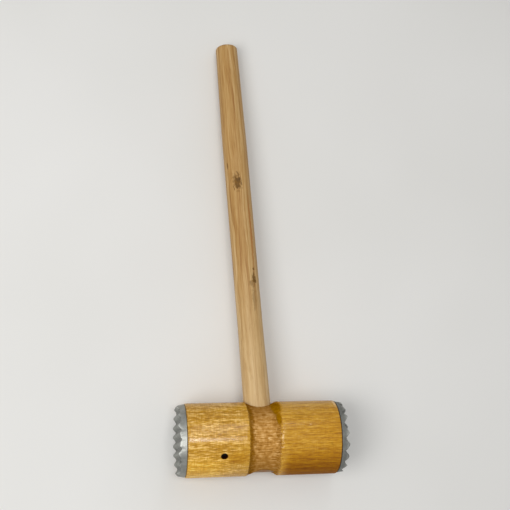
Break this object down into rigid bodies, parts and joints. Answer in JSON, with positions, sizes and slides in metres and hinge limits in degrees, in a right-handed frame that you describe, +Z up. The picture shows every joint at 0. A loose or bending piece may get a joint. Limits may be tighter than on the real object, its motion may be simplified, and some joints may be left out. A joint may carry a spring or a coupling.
{
  "type": "meat mallet",
  "caption": "Meat mallet with a waisted wooden barrel head, toothed cast aluminium striking faces and a long round wooden handle.",
  "frame": {"origin": "on the table that the mallet lies on, under the middle of the whole mallet", "axes": "+X along the head towards the coarse face, +Y along the mallet towards the grip end, +Z up from the table"},
  "size_m": [0.1274, 0.345, 0.055],
  "materials": {
    "barrel_wood": "varnished",
    "handle_wood": "satin",
    "wedge_wood": "sawn",
    "cast_metal": "as cast",
    "pin_steel": "dull"
  },
  "bodies": {
    "root": {"head_barrel": "barrel_wood", "handle": "handle_wood", "handle_wedge": "wedge_wood", "fine_face": "cast_metal", "coarse_face": "cast_metal", "fine_face_pin": "pin_steel", "coarse_face_pin": "pin_steel"}
  },
  "joints": []
}
